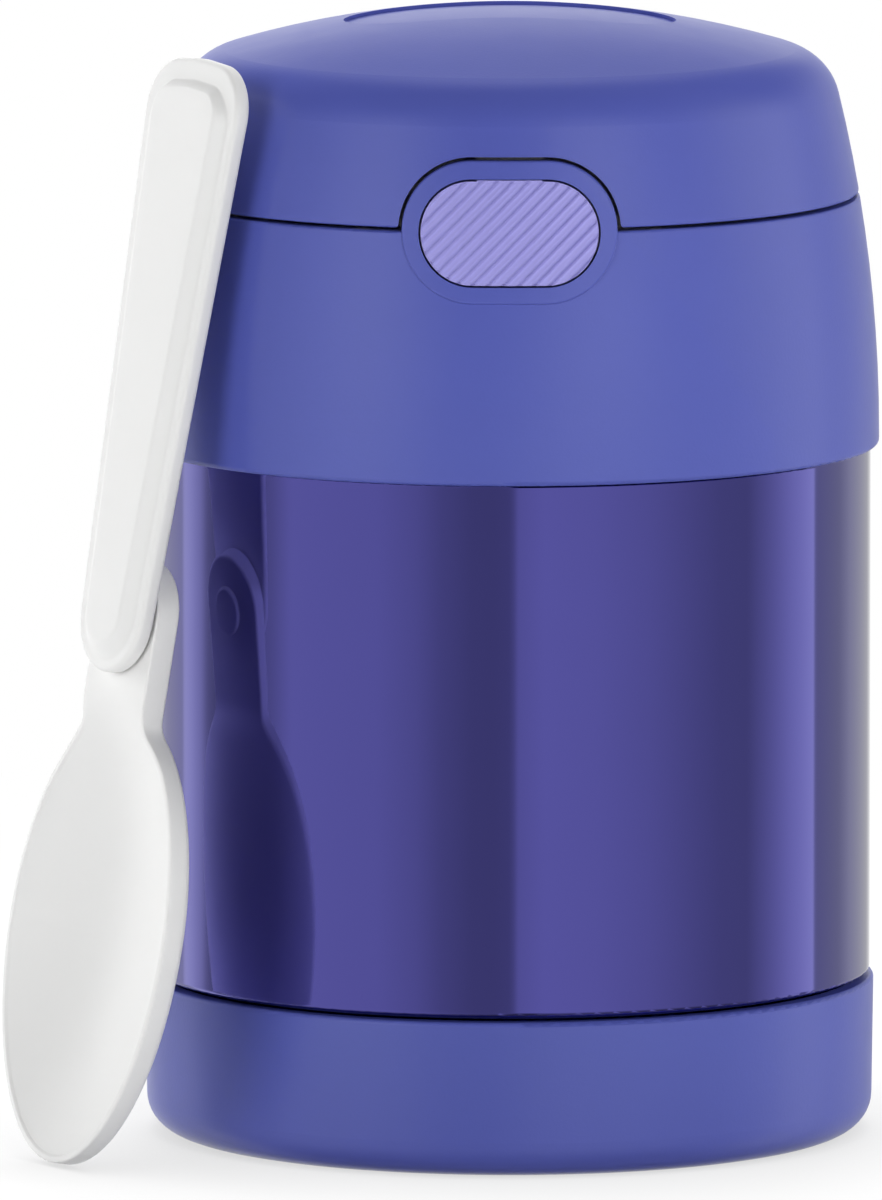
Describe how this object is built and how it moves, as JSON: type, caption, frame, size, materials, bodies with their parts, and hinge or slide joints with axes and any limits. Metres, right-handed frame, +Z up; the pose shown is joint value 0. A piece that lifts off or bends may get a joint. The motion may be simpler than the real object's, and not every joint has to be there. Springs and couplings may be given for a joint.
{
  "type": "insulated food jar with spoon",
  "caption": "Vacuum insulated food jar with a screw lid, a flip cap opened by a front button, and a folding spoon that leans on its side.",
  "frame": {"origin": "on the jar's axis, at the flat face it stands on", "axes": "+Z up along the jar's axis; -Y is the front, where the button is; the hinge is at +Y"},
  "size_m": [0.1043, 0.0892, 0.1341],
  "materials": {
    "boot": "matte soft boot",
    "lacquered_steel": "satin translucent lacquer on steel",
    "bare_steel": "satin stainless steel",
    "seal_bead": "dull solder bead",
    "getter_grey": "sintered pill",
    "foil": "bright foil",
    "gasket": "translucent silicone",
    "liner_plastic": "fine matt polypropylene",
    "foam": "closed-cell foam",
    "lid_plastic": "fine matt polypropylene",
    "button_plastic": "soft ribbed plastic",
    "spoon_plastic": "satin polypropylene",
    "spring_steel": "polished spring steel"
  },
  "bodies": {
    "jar": {"base_boot": "boot", "outer_shell": "lacquered_steel", "inner_vessel": "bare_steel", "shell_bottom_plate": "bare_steel", "vacuum_seal": "seal_bead", "getter": "getter_grey", "radiation_foil": "foil"},
    "seal": {"lid_gasket": "gasket"},
    "lid": {"lid_liner": "liner_plastic", "lid_insulation": "foam", "lid_sleeve": "lid_plastic", "spoon_tray": "liner_plastic", "button_guide": "liner_plastic", "button_spring": "spring_steel", "hinge_pin": "spring_steel", "hinge_spring": "spring_steel"},
    "button": {"push_button": "button_plastic", "latch_slide": "liner_plastic"},
    "cap": {"flip_cap": "lid_plastic", "cap_liner": "liner_plastic"},
    "spoon_bowl": {"spoon_bowl": "spoon_plastic"},
    "spoon_handle": {"spoon_handle": "spoon_plastic", "spoon_rivet": "spoon_plastic"}
  },
  "joints": [
    {"name": "lid_rise", "type": "slide", "parent": "jar", "child": "seal", "axis": [0, 0, 1], "range_m": [0, 0.0091]},
    {"name": "lid_turn", "type": "hinge", "parent": "seal", "child": "lid", "pos_m": [0, 0, 0.1], "axis": [0, 0, 1], "range_deg": [0, 270]},
    {"name": "cap_flip", "type": "hinge", "parent": "lid", "child": "cap", "pos_m": [0, 0.0368, 0.1145], "axis": [-1, 0, 0], "range_deg": [0, 100], "deforming": ["hinge_spring"]},
    {"name": "button_press", "type": "slide", "parent": "lid", "child": "button", "axis": [0, 1, 0], "range_m": [0, 0.0015], "stiffness_N_per_m": 600, "deforming": ["button_spring"]},
    {"name": "spoon_pull", "type": "slide", "parent": "jar", "child": "spoon_bowl", "axis": [-0.8453, -0.5344, 0], "range_m": [0, 0.05]},
    {"name": "spoon_fold", "type": "hinge", "parent": "spoon_bowl", "child": "spoon_handle", "pos_m": [-0.04543, -0.02724, 0.06504], "axis": [-0.8306, -0.5251, 0.1857], "range_deg": [0, 180]}
  ],
  "couplings": [
    {"joint": "lid_rise", "follows": "lid_turn", "m_per_rad": 0.0019099}
  ]
}
